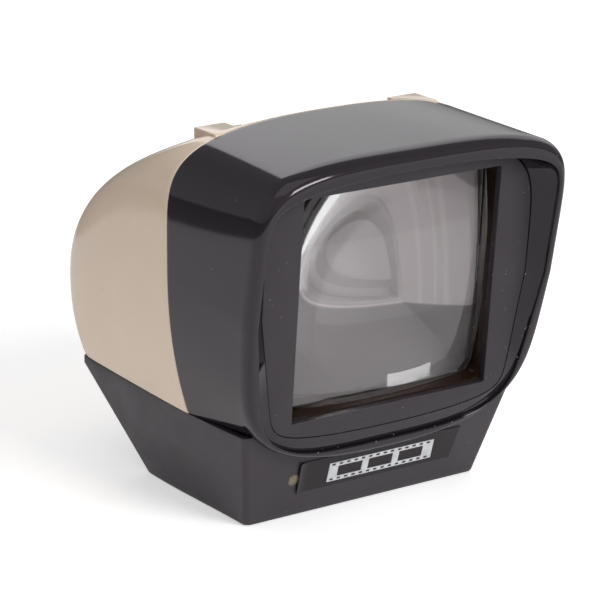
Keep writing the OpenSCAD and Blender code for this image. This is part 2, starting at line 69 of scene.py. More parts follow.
BASE_LO, BASE_HI = box_mm("base")
HOOD_HI = box_mm("hood")[1]
LABEL_LO, LABEL_HI = box_mm("label_plate")
DECK_TOP = box_mm("chassis")[1][2] - 1.5  # top of the chassis deck, below its two collars

SEAM_Y = HOOD_HI[1]
CREST_Z = HOOD_HI[2]
SHELL_HW = HOOD_HI[0]
SHOULDER_Z = 64.0  # height where the shells are widest
SEAM_DROP = 52.0  # how far the seam's outline reaches below the shoulder
WALL = 2.0

COVER_DEPTH = box_mm("rear_cover")[1][1] - SEAM_Y
COVER_WAIST_Z = 52.0  # height where the cover is deepest
COVER_FOOT_Z = 27.0
COVER_FOOT_DEPTH = 56.7

BASE_H = BASE_HI[2]
BASE_LIP_Z = BASE_H - 2  # above it the base's rear edge stands upright
BASE_FOOT_HW = 36.2
BASE_FOOT_HD = 23.8
BASE_FRONT_HW = 42.2
BASE_MID_HW = BASE_HI[0]
BASE_REAR_HW = 41.0
BASE_FLOOR = 3.0
CORNER_R = 1.8

MASK_Y = -38.3  # centre of the reference plane just in front of the mask's face
MASK_Z = 58.7
MASK_TILT = math.radians(5.2)
MASK_BACK = 0.4  # depth of the mask's face behind that plane
MASK_T = 2.0
RIM_TILT = math.radians(11.3)
RIM_HW = 47.1
RIM_UP = 40.4
RIM_DOWN = 42.8
RIM_OFF = 3.67  # how far the rim stands in front of the mask's reference point
NOSE = 4.0  # depth of the rim's rounded outer edge
NOSE_INSET = 1.9
LIP_HW = 44.3
LIP_UP = 36.2
LIP_DOWN = 39.4
BORDER_HW = 40.8
BORDER_UP = 38.0
BORDER_DOWN = 35.2
WINDOW_HW = 30.0
WINDOW_HH = 29.45

LENS_R = 125.0
LENS_T = 17.0
LENS_APEX = 0.9  # depth of the lens's front crown behind the mask's reference plane
LENS_HW = 31.0
LENS_HH = 28.9

SLOT_HW = 25.2
SLOT_Y = (-2.0, 2.1)
TAB_Z = 98.1  # top of the guide tabs
TAB_HW = 34.4
TAB_FOOT_Z = 92.5
RIB_X = 22.9  # inner end of the ribs in front of the slide
WELL_Y = 1.5
WELL_Z = 91.0
WELL_R = 9.0
SCREW_X = 33.2
SCREW_Y = (-15.0, 17.0)

SPRING_WIRE = 0.3
SPRING_TURNS = 7.5

AROUND = 24  # points per eighth of a closed outline


# ---------------------------------------------------------------- outlines


def quarter(p, q, m=AROUND, split=0.86):
    """Quarter of |x|^p + |y|^q = 1 from (1, 0) to (0, 1), with points gathered at the corner."""
    corner = (1 - split**q) ** (1 / p)
    w = split * np.sin(np.radians(90 * np.arange(m) / m))
    u = corner * np.cos(np.radians(90 * np.arange(m + 1) / m))
    side = np.c_[(1 - w**q) ** (1 / p), w]
    top = np.c_[u, (1 - np.abs(u) ** p) ** (1 / q)]
    return np.vstack([side, top])


def corner_quarter(hw, hh, r, m=AROUND, steps=8):
    """Quarter of a rectangle with a rounded corner, from (hw, 0) to (0, hh)."""
    turn = np.radians(np.linspace(0, 90, steps))
    side = np.c_[np.full(m, hw), (hh - r) * np.arange(m) / m]
    arc = np.c_[hw - r + r * np.cos(turn), hh - r + r * np.sin(turn)]
    rest = m + 1 - steps
    top = np.c_[(hw - r) * (1 - np.arange(1, rest + 1) / rest), np.full(rest, hh)]
    return np.vstack([side, arc, top])


def closed(up, low):
    """Closed outline, symmetric in x, from the quarter shapes of its upper and lower half."""
    right = np.vstack([low[:0:-1] * (1, -1), up])
    return np.vstack([right, right[-2:0:-1] * (-1, 1)])


def rect_loop(hw, hh, r):
    """Closed outline of a rectangle with rounded corners."""
    q = corner_quarter(hw, hh, r)
    return closed(q, q)


def lean(x, v, off, tilt):
    """Points at x and height v in a leaning plane, off in front of the mask's reference point."""
    y = MASK_Y - off * math.cos(tilt) - v * math.sin(tilt)
    z = MASK_Z - off * math.sin(tilt) + v * math.cos(tilt)
    return np.c_[x, y, z]


RIM_SHAPE = closed(quarter(3.5, 8), quarter(2.6, 5))
LIP_SHAPE = closed(quarter(1.8, 12.6), quarter(3.5, 7.6))
BORDER_SHAPE = closed(quarter(2.0, 6.3, split=0.755), quarter(2.1, 19, split=0.91))
SEAM_SHAPE = closed(quarter(2.45, 6), quarter(8, 8))


def rim_loop(inset, off):
    """Screen-shaped loop of the hood's rim."""
    s = RIM_SHAPE
    v = s[:, 1] * np.where(s[:, 1] > 0, RIM_UP, RIM_DOWN) * (1 - inset / 41)
    x = s[:, 0] * (RIM_HW - inset) * np.where(v < 0, 1 + 0.00195 * v, 1)
    return lean(x, v, off, RIM_TILT)


def lip_loop(inset, off):
    """Loop of the rim's inner edge, whose top is more arched than the outer edge."""
    s = LIP_SHAPE
    v = s[:, 1] * np.where(s[:, 1] > 0, LIP_UP, LIP_DOWN) * (1 - inset / 38)
    x = s[:, 0] * (LIP_HW - inset) * np.where(v < 0, 1 + 0.0035 * v, 1)
    return lean(x, v, off, RIM_TILT)


def border_flat(inset):
    """Loop of the mask's visible border, flat in the mask's plane."""
    s = BORDER_SHAPE
    v = s[:, 1] * np.where(s[:, 1] > 0, BORDER_UP, BORDER_DOWN) * (1 - inset / 36.5)
    x = s[:, 0] * (BORDER_HW - inset) * np.where(v < 0, 1 + 0.0037 * v, 1)
    return np.c_[x, v]


def in_mask(flat, depth):
    """Flat loop parallel to the mask, depth behind its reference plane."""
    return lean(flat[:, 0], flat[:, 1], -depth, MASK_TILT)


def seam_hw(z):
    """Half width of the shells at the seam, by height."""
    z = np.asarray(z, float)
    rise = np.clip((z - SHOULDER_Z) / (CREST_Z - SHOULDER_Z), 0, 1)
    low = SHELL_HW - 0.0041 * (SHOULDER_Z - z) ** 2
    return np.where(z <= SHOULDER_Z, low, SHELL_HW * (1 - rise**6) ** (1 / 2.45))


def seam_loop(inset, y):
    """Outline of the shells where hood and cover meet."""
    s = SEAM_SHAPE
    z = SHOULDER_Z + s[:, 1] * np.where(s[:, 1] > 0, CREST_Z - SHOULDER_Z - inset, SEAM_DROP)
    x = s[:, 0] * (np.where(s[:, 1] > 0, SHELL_HW, seam_hw(z)) - inset)
    return np.c_[x, np.full(len(s), y), z]


def mix(a, b, s):
    """From a at s = 0 to b at s = 1."""
    return a * (1 - s) + b * s


def cover_b(z):
    """Depth of the rear cover behind the seam, by height."""
    if z <= COVER_WAIST_Z:
        down = (COVER_WAIST_Z - z) / (COVER_WAIST_Z - COVER_FOOT_Z)
        return mix(COVER_DEPTH, COVER_FOOT_DEPTH, down**2)
    up = (z - COVER_WAIST_Z) / (CREST_Z - COVER_WAIST_Z)
    return COVER_DEPTH * max(0.0, 1 - up**2.6) ** 1.27


def cover_ring(z, inset, height, start, edge=0.0):
    """Ring of the cover at height z, drawn at height; edge rounds its corners at the seam."""
    n = 4.6 + 35.4 * math.exp(-(z - COVER_FOOT_Z) / 18)
    taper = 0.025 + 0.03 * math.exp(-(z - COVER_FOOT_Z) / 10)
    a = max(0.02, float(seam_hw(z)) - inset)
    b = max(0.02, cover_b(z) - inset)
    q = quarter(n, n, 26, 0.93)
    side = np.c_[q[:, 0] * a * (1 - taper * q[:, 1] ** 1.5), SEAM_Y + q[:, 1] * b]
    if edge:
        e = min(edge, a / 2, b / 4)
        turn = np.radians([0, 30, 60, 90])
        head = np.c_[a - e + e * np.sin(turn), SEAM_Y + e - e * np.cos(turn)]
    else:
        head = np.array([[side[0][0], start], [side[0][0], SEAM_Y]])
    right = np.vstack([head, side[1:]])
    flat = np.vstack([right, right[-2::-1] * (-1, 1)])
    return np.c_[flat, np.full(len(flat), height)]


def base_ring(hwf, hwm, hwr, yf, yr, z, r=CORNER_R):
    """Rounded ring of the base whose sides bow out between its corners."""
    fit_y = np.array([yf + r, -6.0, yr * 0.6, yr - r])
    fit_x = np.array([hwf, hwm, hwm * 0.4 + hwr * 0.6 + 0.25, hwr])
    bow = np.polyfit(fit_y, fit_x, 3)
    y = np.linspace(yf + r, yr - r, 34)
    a = np.radians(np.linspace(-90, 0, 11))
    front = np.c_[hwf - r + r * np.cos(a), yf + r + r * np.sin(a)]
    rear = np.c_[hwr - r + r * np.cos(a + np.pi / 2), yr - r + r * np.sin(a + np.pi / 2)]
    side = np.vstack([front, np.c_[np.polyval(bow, y), y][1:-1], rear])
    flat = np.vstack([side, side[::-1] * (-1, 1)])
    return np.c_[flat, np.full(len(flat), z)]


def base_at(z, inset):
    """Ring of the base at height z, inset all round."""
    s = z / BASE_H
    t = min(1.0, z / BASE_LIP_Z)
    return base_ring(
        mix(BASE_FOOT_HW, BASE_FRONT_HW, s) - inset,
        mix(BASE_FOOT_HW + 0.1, BASE_MID_HW, s) - inset,
        mix(BASE_FOOT_HW, BASE_REAR_HW, t) - inset,
        mix(-BASE_FOOT_HD, BASE_LO[1], s) + inset,
        mix(BASE_FOOT_HD, BASE_HI[1], t) - inset,
        z,
    )


# ---------------------------------------------------------------- mesh helpers


def make_object(name, verts, faces):
    """Mesh object from points in millimetres, with its faces turned outwards."""
    mesh = bpy.data.meshes.new(name)
    mesh.from_pydata((np.asarray(verts) * MM).tolist(), [], faces)
    mesh.update()
    work = bmesh.new()
    work.from_mesh(mesh)
    bmesh.ops.remove_doubles(work, verts=work.verts, dist=1e-7)
    bmesh.ops.recalc_face_normals(work, faces=work.faces)
    work.to_mesh(mesh)
    work.free()
    obj = bpy.data.objects.new(name, mesh)
    bpy.context.scene.collection.objects.link(obj)
    return obj


def skin(name, loops, wrap=False):
    """Closed skin through loops with equal counts; wrap joins the last loop to the first."""
    n = len(loops[0])
    m = len(loops)
    faces = []
    for k in range(m if wrap else m - 1):
        for i in range(n):
            a = k * n + i
            b = k * n + (i + 1) % n
            up = ((k + 1) % m) * n - k * n
            faces.append((a, b, b + up, a + up))
    if not wrap:
        faces.append(tuple(range(n - 1, -1, -1)))
        faces.append(tuple(range((m - 1) * n, m * n)))
    return make_object(name, np.vstack(loops), faces)


def block(lo, hi, radius=0.0):
    """Box between two corners with rounded edges."""
    work = bmesh.new()
    bmesh.ops.create_cube(work, size=1.0)
    lo = np.asarray(lo, float)
    hi = np.asarray(hi, float)
    for v in work.verts:
        v.co = Vector((lo + (np.array(v.co) + 0.5) * (hi - lo)) * MM)
    if radius:
        bmesh.ops.bevel(
            work, geom=list(work.edges), offset=radius * MM, segments=3, profile=0.5, affect="EDGES"
        )
    mesh = bpy.data.meshes.new("tool")
    work.to_mesh(mesh)
    work.free()
    obj = bpy.data.objects.new("tool", mesh)
    bpy.context.scene.collection.objects.link(obj)
    return obj


def round_bar(x, y, z0, z1, r, sides=72):
    """Upright cylinder used as a cutter or a boss."""
    a = 2 * np.pi * np.arange(sides) / sides
    ring = np.c_[x + r * np.cos(a), y + r * np.sin(a)]
    return skin("tool", [np.c_[ring, np.full(sides, z)] for z in (z0, z1)])


def combine(obj, tool, operation):
    """Applies a boolean with tool, then removes tool."""
    step = obj.modifiers.new("step", "BOOLEAN")
    step.object = tool
    step.operation = operation
    step.solver = "EXACT"
    bpy.context.view_layer.update()
    graph = bpy.context.evaluated_depsgraph_get()
    result = bpy.data.meshes.new_from_object(obj.evaluated_get(graph))
    obj.modifiers.clear()
    obj.data = result
    bpy.data.objects.remove(tool)
    return obj


def cut(obj, *tools):
    """Takes the tools away from obj."""
    for tool in tools:
        combine(obj, tool, "DIFFERENCE")
    return obj


def join(obj, *tools):
    """Adds the tools to obj."""
    for tool in tools:
        combine(obj, tool, "UNION")
    return obj


def soften(obj, width, angle=32.0, segments=2):
    """Small rounding of the sharp edges, kept as a modifier."""
    bevel = obj.modifiers.new("edge", "BEVEL")
    bevel.width = width * MM
    bevel.segments = segments
    bevel.limit_method = "ANGLE"
    bevel.angle_limit = math.radians(angle)
    bevel.harden_normals = False
    bevel.miter_outer = "MITER_ARC"


def smooth(obj, angle=34.0):
    """Smooth faces with hard edges where two faces meet at more than angle."""
    obj.data.shade_smooth()
    obj.data.set_sharp_from_angle(angle=math.radians(angle))


def place(obj, node, material):
    """Names obj after the CAD node that it stands for and puts it on the housing."""
    obj.name = node + "_shell"
    obj.data.name = obj.name
    obj.data.materials.clear()
    obj.data.materials.append(material)
    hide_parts(node)
    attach(obj, "housing")


# ---------------------------------------------------------------- shader helpers


class Graph:
    """Builds a node tree: every call adds one node and returns its output."""

    def __init__(self, tree):
        self.tree = tree
        tree.nodes.clear()

    def add(self, kind, inputs=None, **props):
        node = self.tree.nodes.new(kind)
        for key, value in props.items():
            setattr(node, key, value)
        for key, value in (inputs or {}).items():
            self.feed(node.inputs[key], value)
        return node

    def feed(self, socket, value):
        if isinstance(value, bpy.types.NodeSocket):
            self.tree.links.new(value, socket)
        else:
            socket.default_value = value

    def place(self, stretch=(1, 1, 1), turn=(0, 0, 0)):
        """Position in the piece's own frame, in metres, stretched and turned."""
        here = self.add("ShaderNodeTexCoord").outputs["Object"]
        inputs = {"Vector": here, "Scale": stretch, "Rotation": turn}
        return self.add("ShaderNodeMapping", inputs).outputs[0]

    def noise(self, scale, detail=3.0, rough=0.55, where=None):
        """Cloudy noise between 0 and 1, scale lumps per metre."""
        inputs = {"Scale": scale, "Detail": detail, "Roughness": rough}
        inputs["Vector"] = where or self.place()
        return self.add("ShaderNodeTexNoise", inputs).outputs[0]

    def calc(self, operation, a, b=0.0):
        node = self.add("ShaderNodeMath", operation=operation)
        self.feed(node.inputs[0], a)
        self.feed(node.inputs[1], b)
        return node.outputs[0]

    def remap(self, value, low, high, to_low=0.0, to_high=1.0):
        """Soft step from to_low to to_high as value goes from low to high."""
        inputs = {
            "Value": value,
            "From Min": low,
            "From Max": high,
            "To Min": to_low,
            "To Max": to_high,
        }
        node = self.add("ShaderNodeMapRange", inputs, interpolation_type="SMOOTHSTEP")
        return node.outputs[0]

    def blend(self, share, a, b):
        """Colour a where share is 0 and colour b where it is 1."""
        node = self.add("ShaderNodeMix", data_type="RGBA")
        self.feed(node.inputs[0], share)
        self.feed(node.inputs[6], a)
        self.feed(node.inputs[7], b)
        return node.outputs[2]

    def split(self, kind, output):
        """X, Y and Z of one output of a new input node."""
        vector = self.add(kind).outputs[output]
        return self.add("ShaderNodeSeparateXYZ", {0: vector}).outputs

    def bump(self, height, distance, normal=None):
        """Surface relief of the given height in metres."""
        inputs = {"Height": height, "Distance": distance, "Strength": 1.0}
        if normal:
            inputs["Normal"] = normal
        return self.add("ShaderNodeBump", inputs).outputs[0]

    def specks(self, per_metre, size, share):
        """Sparse round dots, 1 inside; the radius is in cells and share is the share of cells."""
        cells = self.add("ShaderNodeTexVoronoi", {"Scale": per_metre, "Vector": self.place()})
        draw = self.add("ShaderNodeSeparateColor", {0: cells.outputs["Color"]}).outputs[0]
        chosen = self.calc("LESS_THAN", draw, share)
        inside = self.remap(cells.outputs["Distance"], size, size * 0.6)
        return self.calc("MULTIPLY", chosen, inside)


def rgb(r, g, b):
    return (r, g, b, 1.0)


WHITE = rgb(1.0, 1.0, 1.0)
DUST = rgb(0.62, 0.60, 0.58)


def scaled(colour, k):
    """Colour made k times as bright."""
    return tuple(min(1.0, c * k) for c in colour[:3]) + (1.0,)


def new_material(name):
    material = bpy.data.materials.new(name)
    material.use_nodes = True
    return material, Graph(material.node_tree)


def finish_material(graph, **inputs):
    """Principled surface from named inputs, linked to the output."""
    names = {
        "colour": "Base Color",
        "rough": "Roughness",
        "metal": "Metallic",
        "normal": "Normal",
        "ior": "IOR",
        "clear": "Transmission Weight",
        "glow": "Emission Strength",
        "glow_colour": "Emission Color",
        "gloss": "Specular IOR Level",
        "gloss_colour": "Specular Tint",
    }
    surface = graph.add("ShaderNodeBsdfPrincipled", {names[k]: v for k, v in inputs.items()})
    graph.add("ShaderNodeOutputMaterial", {"Surface": surface.outputs[0]})


def dusty(g, tint, rough, mote, cover=0.8, colour=DUST):
    """Tint and roughness with pale, dull motes on them."""
    tint = g.blend(g.calc("MULTIPLY", mote, cover), tint, colour)
    return tint, g.calc("MAXIMUM", rough, g.calc("MULTIPLY", mote, 0.8))


def plastic(
    name,
    colour,
    rough,
    grain=4200.0,
    depth=1.5e-6,
    ripple=2.0e-6,
    stains_and_shade=None,
    dust=0.012,
    fleck=None,
    glow=0.0,
    gloss=0.5,
    gloss_colour=WHITE,
):
    """Moulded plastic: cloudy tint, mould grain, faint ripples, uneven sheen, dust and flecks.

    grain is in lumps per metre, depth and ripple in metres; dust is the share of cells with a mote;
    glow is painted light, a faint emission of the tint on parts that are no lamp.
    """
    material, g = new_material(name)
    cloud = g.remap(g.noise(38.0, 4.0), 0.35, 0.65)
    tint = g.blend(cloud, scaled(colour, 0.985), scaled(colour, 1.015))
    fine = g.noise(grain, 2.0, 0.6)
    sheen = g.noise(95.0, 5.0, 0.6)
    streak = g.noise(260.0, 3.0, 0.7, g.place((1, 1, 14), (0.3, 0.5, 0.2)))
    rough_out = g.remap(sheen, 0.3, 0.7, rough * 0.9, rough * 1.12)
    scuffs = g.remap(streak, 0.66, 0.78, 0.0, 0.03)
    rough_out = g.calc("ADD", rough_out, scuffs)
    if fleck:
        tint = g.blend(g.specks(900.0, 0.13, 0.010), tint, fleck)
    # hook: real stains (label glue) or painted shade (hood recess, light tunnel)
    if stains_and_shade:
        tint, rough_out = stains_and_shade(g, tint, rough_out)
    tint, rough_out = dusty(g, tint, rough_out, g.specks(1400.0, 0.16, dust))
    normal = g.bump(g.noise(150.0, 2.0), ripple)
    normal = g.bump(fine, depth, normal)
    finish_material(
        g,
        colour=tint,
        rough=rough_out,
        normal=normal,
        gloss=gloss,
        gloss_colour=gloss_colour,
        glow=glow,
        glow_colour=colour,
    )
    return material


def metal(name, colour, rough, brushed=(1, 1, 1), stain=None):
    """Rolled or plated metal: brushed grain, tarnish clouds and tiny pits."""
    material, g = new_material(name)
    lines = g.noise(1800.0, 3.0, 0.65, g.place(brushed))
    cloud = g.remap(g.noise(160.0, 5.0, 0.65), 0.42, 0.72)
    tint = g.blend(cloud, colour, stain or scaled(colour, 0.72))
    pits = g.specks(1500.0, 0.16, 0.2)
    tint = g.blend(g.calc("MULTIPLY", pits, 0.5), tint, scaled(colour, 0.35))
    brushing = g.remap(lines, 0.2, 0.8, rough * 0.7, rough * 1.4)
    rough_out = g.calc("ADD", brushing, g.calc("MULTIPLY", cloud, 0.12))
    height = g.calc("SUBTRACT", lines, g.calc("MULTIPLY", pits, 2.0))
    finish_material(g, colour=tint, metal=1.0, rough=rough_out, normal=g.bump(height, 3e-6))
    return material


# ---------------------------------------------------------------- materials

BLACK = rgb(0.017, 0.014, 0.018)
# painted shade: near-black tint for the walls inside the hood's recess
RECESS_SHADE_BLACK = rgb(0.0045, 0.0038, 0.0046)
RECESS_DUST = rgb(0.66, 0.63, 0.60)
BASE_BLACK = rgb(0.028, 0.024, 0.029)
MASK_BLACK = rgb(0.023, 0.020, 0.024)
VIOLET = rgb(1.0, 0.92, 1.0)  # tint of the black plastics' sheen
BEIGE = rgb(0.82, 0.665, 0.52)
PALE = rgb(0.86, 0.785, 0.79)

# Metres in the frame, for finishes, painted shade and painted highlights that depend on the place.
STAIN_AT = (-0.0240, -0.0270, 0.0112)
TUNNEL_HIGHLIGHT_RINGS = ((-0.0135, 0.0010), (-0.0108, 0.0005), (-0.0075, 0.0006))  # depth and half width of the paler rings painted as highlights
TUNNEL_SHADED_ROOF_Z = 0.0776
TUNNEL_SHADED_LOW_Z = 0.0488
CELL_BAND = (0.012, 0.0165)  # from the middle of a cell
CELL_SLEEVE_END = 0.0236


def label_stain(g, tint, rough):
    """Dried adhesive beside the label's lifted end."""
    points = {0: g.add("ShaderNodeTexCoord").outputs["Object"], 1: STAIN_AT}
    away = g.add("ShaderNodeVectorMath", points, operation="DISTANCE").outputs["Value"]
    ragged = g.calc("ADD", away, g.calc("MULTIPLY", g.noise(900.0, 4.0), 0.0022))
    inside = g.remap(ragged, 0.0030, 0.0022)
    glue = g.blend(g.noise(1400.0, 3.0), rgb(0.10, 0.085, 0.055), rgb(0.26, 0.22, 0.15))
    return g.blend(inside, tint, glue), g.calc("MAXIMUM", rough, g.calc("MULTIPLY", inside, 0.75))


def recess_shade_and_dust(g, tint, rough):
    """Painted shade: blacker walls in the recess round the window, with real dust on its floor."""
    x, _, z = g.split("ShaderNodeTexCoord", "Object")
    facing_x, _, facing_z = g.split("ShaderNodeNewGeometry", "Normal")
    rise = g.calc("SUBTRACT", z, MASK_Z * MM)
    outward = g.calc("ADD", g.calc("MULTIPLY", x, facing_x), g.calc("MULTIPLY", rise, facing_z))
    wall = g.remap(outward, 0.001, -0.009)
    floor = g.calc("MULTIPLY", wall, g.remap(facing_z, -0.05, 0.15))
    mote = g.specks(1500.0, 0.20, g.calc("MULTIPLY", floor, 0.10))
    # the recess walls get painted shade; the motes on its floor are dust
    return dusty(g, g.blend(wall, tint, RECESS_SHADE_BLACK), rough, mote, 0.85, RECESS_DUST)


def tunnel_shade(g, tint, rough):
    """Light tunnel with painted shade, a grey lower part and a darker top, and paler rings painted
    as highlights.
    """
    _, depth, height = g.split("ShaderNodeTexCoord", "Object")
    # painted highlights: paler rings across the tunnel's walls
    for at, width in TUNNEL_HIGHLIGHT_RINGS:
        away = g.calc("ABSOLUTE", g.calc("SUBTRACT", depth, at))
        tint = g.blend(g.remap(away, width, width * 0.4, 0.0, 0.6), tint, rgb(0.98, 0.92, 0.92))
    # painted shade: a darker band at the roof and a grey lower part, set by height
    shaded_roof = g.remap(height, TUNNEL_SHADED_ROOF_Z, TUNNEL_SHADED_ROOF_Z + 0.001)
    grey = g.remap(height, TUNNEL_SHADED_LOW_Z, TUNNEL_SHADED_LOW_Z - 0.0006)
    tint = g.blend(shaded_roof, tint, rgb(0.44, 0.395, 0.40))
    return g.blend(grey, tint, rgb(0.28, 0.255, 0.26)), rough


hood_black = plastic(
    "hood_black",
    BLACK,
    0.09,
    grain=2600.0,
    depth=1.6e-6,
    ripple=4.0e-6,
    dust=0.0096,
    # recess hook: painted shade on the recess walls, dust on its floor
    stains_and_shade=recess_shade_and_dust,
    gloss_colour=VIOLET,
)
base_black = plastic(
    "base_black",
    BASE_BLACK,
    0.42,
    depth=3.2e-6,
    dust=0.006,
    stains_and_shade=label_stain,
    gloss_colour=VIOLET,
)
mask_black = plastic("mask_black", MASK_BLACK, 0.48, depth=3e-6, dust=0.032, gloss_colour=VIOLET)
inner_black = plastic("inner_black", rgb(0.022, 0.019, 0.018), 0.34, dust=0.0072)
tunnel_pale = plastic(
    "tunnel_pale",
    PALE,
    0.35,
    grain=900.0,
    depth=0.2e-6,
    ripple=0.3e-6,
    dust=0.0024,
    stains_and_shade=tunnel_shade,
    # painted light: a faint glow, though the tunnel is no lamp
    glow=0.01,
)
chamber_pale = plastic(
    "chamber_pale",
    rgb(0.44, 0.40, 0.405),
    0.35,
    ripple=0.5e-6,
    dust=0.0024,
    # painted light: the slide guide and rest glow faintly, though they are no lamp
    glow=0.14,
)
lens_edge = plastic("lens_edge", rgb(0.030, 0.014, 0.008), 0.22, dust=0.0024)
cell_brown = plastic("cell_brown", rgb(0.022, 0.010, 0.006), 0.14, dust=0.0036)
cover_beige = plastic(
    "cover_beige",
    BEIGE,
    0.15,
    depth=0.8e-6,
    ripple=1.0e-6,
    dust=0.0024,
    fleck=rgb(0.20, 0.11, 0.06),
)
label_vinyl = plastic(
    "label_vinyl",
    rgb(0.010, 0.006, 0.009),
    0.24,
    grain=9000.0,
    dust=0.0096,
    gloss=0.38,
)
bowl_white = plastic("bowl_white", rgb(0.80, 0.79, 0.75), 0.18, dust=0.006)
phenolic = plastic("phenolic", rgb(0.16, 0.075, 0.035), 0.45, depth=4e-6)
lead_red = plastic("lead_red", rgb(0.42, 0.03, 0.02), 0.38)
lead_black = plastic("lead_black", rgb(0.025, 0.025, 0.027), 0.40)
lead_blue = plastic("lead_blue", rgb(0.03, 0.07, 0.26), 0.38)
steel = metal("steel", rgb(0.60, 0.60, 0.60), 0.30, (1, 1, 12), rgb(0.42, 0.38, 0.34))
brass = metal("brass", rgb(0.74, 0.56, 0.26), 0.28, (12, 1, 1), rgb(0.42, 0.27, 0.12))
foil = metal("foil", rgb(0.80, 0.81, 0.83), 0.30, (1, 8, 1), rgb(0.66, 0.66, 0.68))


def make_opal():
    """Milky diffuser sheet with a faint moulded mottle and a faint glow of painted light."""
    material, g = new_material("opal_sheet")
    mottle = g.noise(700.0, 3.0)
    tint = g.blend(mottle, rgb(0.56, 0.545, 0.54), rgb(0.64, 0.625, 0.62))
    rough = g.remap(g.noise(120.0, 4.0), 0.3, 0.7, 0.45, 0.6)
    finish_material(
        g,
        colour=tint,
        rough=rough,
        normal=g.bump(mottle, 4e-6),
        # painted light: the sheet glows, though no lamp lights it
        glow=0.17,
        glow_colour=rgb(1, 0.94, 0.95),
    )
    return material


def make_lens_glass():
    """Clear moulded acrylic with dust on its face and a trace of handling haze."""
    material, g = new_material("lens_glass")
    mote = g.specks(1400.0, 0.17, 0.035)
    haze = g.remap(g.noise(70.0, 5.0, 0.6), 0.45, 0.8, 0.0, 0.035)
    smear = g.remap(g.noise(240.0, 3.0, 0.6, g.place((1, 1, 9), (0, 0.7, 0))), 0.6, 0.8, 0.0, 0.03)
    glass = g.add(
        "ShaderNodeBsdfPrincipled",
        {
            "Base Color": rgb(0.97, 0.975, 0.98),
            "Roughness": g.calc("ADD", g.calc("ADD", haze, smear), 0.03),
            "IOR": 1.49,
            "Transmission Weight": 1.0,
            "Normal": g.bump(g.noise(60.0, 2.0), 2e-6),
        },
    )
    fleck = g.add("ShaderNodeBsdfDiffuse", {"Color": rgb(0.85, 0.84, 0.82)})
    share = g.calc("MULTIPLY", mote, 0.75)
    both = g.add("ShaderNodeMixShader", {0: share, 1: glass.outputs[0], 2: fleck.outputs[0]})
    g.add("ShaderNodeOutputMaterial", {"Surface": both.outputs[0]})
    return material


def make_lamp_glass():
    """Clear lamp envelope, greyed a little in places."""
    material, g = new_material("lamp_envelope")
    grey = g.remap(g.noise(300.0, 4.0), 0.45, 0.75, 0.0, 0.12)
    tint = g.blend(grey, rgb(0.97, 0.98, 0.98), rgb(0.55, 0.52, 0.50))
    rough = g.remap(g.noise(500.0, 2.0), 0.3, 0.7, 0.0, 0.05)
    relief = g.bump(g.noise(200.0), 5e-6)
    finish_material(g, colour=tint, rough=rough, clear=1.0, ior=1.5, normal=relief)
    return material


def make_cell_sleeve():
    """Printed sleeve: dark green body, a cream band in each half and bare ends."""
    material, g = new_material("cell_sleeve")
    split = g.add("ShaderNodeSeparateXYZ", {0: g.place()})
    along = g.calc("ABSOLUTE", split.outputs[0])
    print_noise = g.noise(2500.0, 2.0)
    green = g.blend(print_noise, rgb(0.015, 0.07, 0.045), rgb(0.022, 0.095, 0.060))
    past_start = g.calc("GREATER_THAN", along, CELL_BAND[0])
    band = g.calc("MULTIPLY", past_start, g.calc("LESS_THAN", along, CELL_BAND[1]))
    sleeve = g.blend(band, green, rgb(0.72, 0.66, 0.50))
    bare = g.calc("GREATER_THAN", along, CELL_SLEEVE_END)
    tint = g.blend(bare, sleeve, rgb(0.66, 0.65, 0.62))
    rough = g.remap(g.noise(220.0, 4.0), 0.3, 0.7, 0.22, 0.38)
    finish_material(g, colour=tint, metal=bare, rough=rough, normal=g.bump(print_noise, 3e-6))
    return material


opal = make_opal()
lens_glass = make_lens_glass()
lamp_glass = make_lamp_glass()
cell_sleeve = make_cell_sleeve()


# ---------------------------------------------------------------- hood


